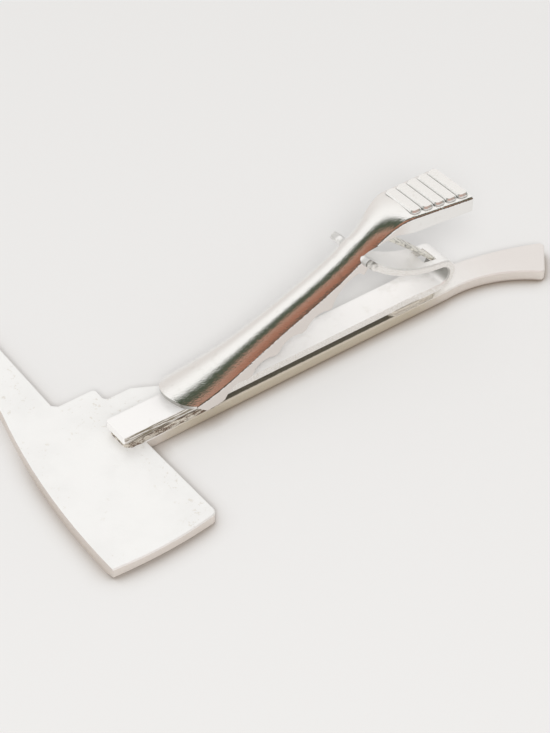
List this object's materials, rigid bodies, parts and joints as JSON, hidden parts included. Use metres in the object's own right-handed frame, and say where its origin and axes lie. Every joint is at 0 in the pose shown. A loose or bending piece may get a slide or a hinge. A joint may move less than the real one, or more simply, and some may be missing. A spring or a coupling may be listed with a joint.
{
  "type": "tie clip",
  "caption": "Tie clip: a flat cast plate in the outline of a pick-backed axe, with a sprung toothed jaw on a folded strip soldered to its back that grips a tie.",
  "frame": {"origin": "on the plate's front face, under the middle of the strip's front end", "axes": "+X along the handle from the head to the tail, +Y towards the pick, +Z from the plate's front face towards the jaw"},
  "size_m": [0.0673, 0.0401, 0.0152],
  "materials": {
    "cast_silver": "matte white silver casting with faint pits",
    "solder": "dull grey solder with a brownish edge",
    "plated_strip": "satin nickel plating on spring strip",
    "spring_steel": "bare dark spring steel",
    "plated_jaw": "polished nickel plating"
  },
  "bodies": {
    "base": {"axe_plate": "cast_silver", "front_solder_bed": "solder", "rear_solder_bed": "solder", "clip_strip": "plated_strip", "spring_tongue": "spring_steel"},
    "jaw": {"jaw": "plated_jaw"}
  },
  "joints": [
    {"name": "jaw_hinge", "type": "hinge", "parent": "base", "child": "jaw", "pos_m": [0.03106, 0, 0.01132], "axis": [0, 1, 0], "range_deg": [0, 24], "stiffness_Nm_per_rad": 0.03, "springref_deg": -28.65, "deforming": ["spring_tongue"]}
  ]
}
